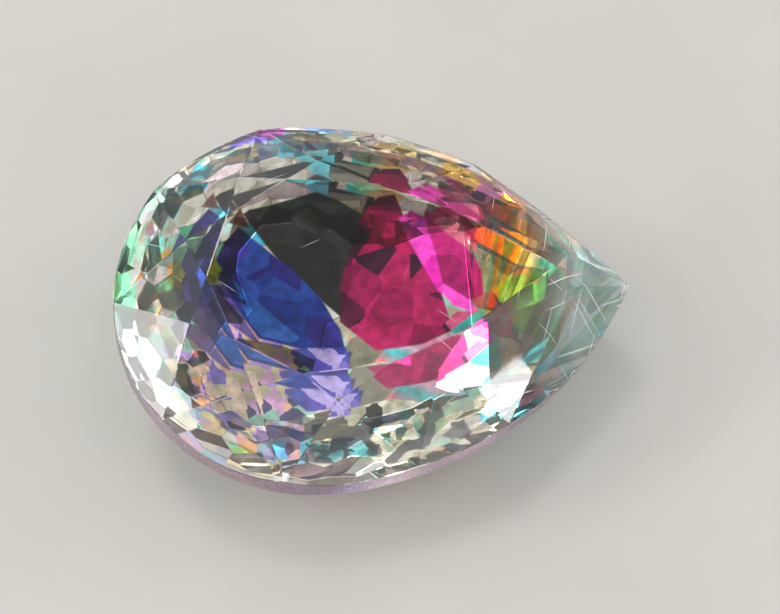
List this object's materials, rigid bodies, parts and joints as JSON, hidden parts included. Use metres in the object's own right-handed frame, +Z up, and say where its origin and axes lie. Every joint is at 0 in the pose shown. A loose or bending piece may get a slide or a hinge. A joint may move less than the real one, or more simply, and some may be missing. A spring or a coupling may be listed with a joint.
{
  "type": "pear-cut gemstone",
  "caption": "Clear pear-cut quartz gemstone with a rainbow-coated pavilion, lying table-up on one of its lowest facets.",
  "frame": {"origin": "middle of the stone's bounding box in plan, on the surface that the stone rests on", "axes": "+X along the stone towards its pointed end, +Y across the stone, away from the side that the table leans to, +Z up"},
  "size_m": [0.02, 0.015, 0.0088],
  "materials": {
    "coated_quartz": "polished, with an interference film on the pavilion"
  },
  "bodies": {
    "root": {"cut_stone": "coated_quartz"}
  },
  "joints": []
}
